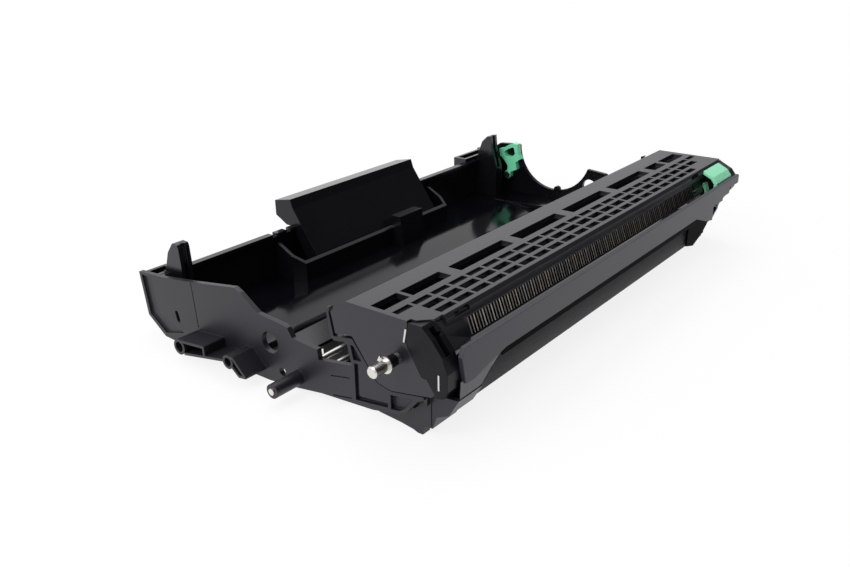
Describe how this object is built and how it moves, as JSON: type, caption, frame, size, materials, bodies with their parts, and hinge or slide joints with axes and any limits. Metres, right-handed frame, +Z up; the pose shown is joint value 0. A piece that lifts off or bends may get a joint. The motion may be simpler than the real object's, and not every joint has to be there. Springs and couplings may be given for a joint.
{
  "type": "printer drum unit",
  "caption": "Drum unit of a desktop laser printer: open tray with a handle, vented drum cover, drum, transfer roller and a corona charger with a green cleaning tab.",
  "frame": {"origin": "bottom centre of the box round the whole unit", "axes": "+X along the drum towards its gear end, +Y from the drum towards the handle, +Z up"},
  "size_m": [0.307, 0.189, 0.05],
  "materials": {
    "frame_plastic": "fine satin texture",
    "cover_plastic": "fine satin texture",
    "guide_plastic": "smooth satin",
    "green_plastic": "satin",
    "steel": "ground",
    "drum_coating": "mirror smooth coating",
    "roller_foam": "fine open foam",
    "gear_plastic": "smooth",
    "pin_metal": "satin"
  },
  "bodies": {
    "unit": {"tray_floor": "frame_plastic", "side_plate_near": "frame_plastic", "side_plate_far": "frame_plastic", "rear_wall": "frame_plastic", "handle": "frame_plastic", "lower_frame": "frame_plastic", "entry_rib_near": "frame_plastic", "entry_rib_far": "frame_plastic", "drum_cover": "cover_plastic", "corona_end_near": "cover_plastic", "corona_end_far": "cover_plastic", "corona_wire": "steel", "corona_grid": "steel", "front_guide": "guide_plastic", "drum_shaft": "steel", "shaft_clip": "steel", "ground_tab": "steel", "transfer_bearing_near": "gear_plastic", "transfer_bearing_far": "gear_plastic", "transfer_spring_near": "steel", "transfer_spring_far": "steel", "guide_rod": "steel", "pinch_bush_near": "gear_plastic", "pinch_bush_far": "gear_plastic", "ground_pin": "pin_metal", "wire_contact": "steel", "grid_contact": "steel", "lever_pin": "steel"},
    "drum": {"drum_tube": "drum_coating", "drum_flange_near": "gear_plastic", "drum_gear": "gear_plastic"},
    "transfer_roller": {"transfer_core": "steel", "transfer_foam": "roller_foam", "transfer_gear": "gear_plastic"},
    "pinch": {"pinch_roller": "steel"},
    "cleaner": {"cleaner_tab": "green_plastic"},
    "lever": {"lock_lever": "green_plastic"}
  },
  "joints": [
    {"name": "drum_spin", "type": "hinge", "parent": "unit", "child": "drum", "pos_m": [0.00755, -0.0679, 0.0325], "axis": [1, 0, 0], "continuous": true},
    {"name": "roller_spin", "type": "hinge", "parent": "unit", "child": "transfer_roller", "pos_m": [0.00755, -0.07734, 0.01397], "axis": [1, 0, 0], "continuous": true},
    {"name": "pinch_spin", "type": "hinge", "parent": "unit", "child": "pinch", "pos_m": [0.00755, -0.028, 0.0146], "axis": [1, 0, 0], "continuous": true},
    {"name": "cleaner_slide", "type": "slide", "parent": "unit", "child": "cleaner", "axis": [-1, 0, 0], "range_m": [0, 0.22]},
    {"name": "lever_swing", "type": "hinge", "parent": "unit", "child": "lever", "pos_m": [0.00755, 0.0645, 0.019], "axis": [1, 0, 0], "range_deg": [0, 25]}
  ],
  "couplings": [
    {"joint": "roller_spin", "follows": "drum_spin", "ratio": -1.6}
  ]
}
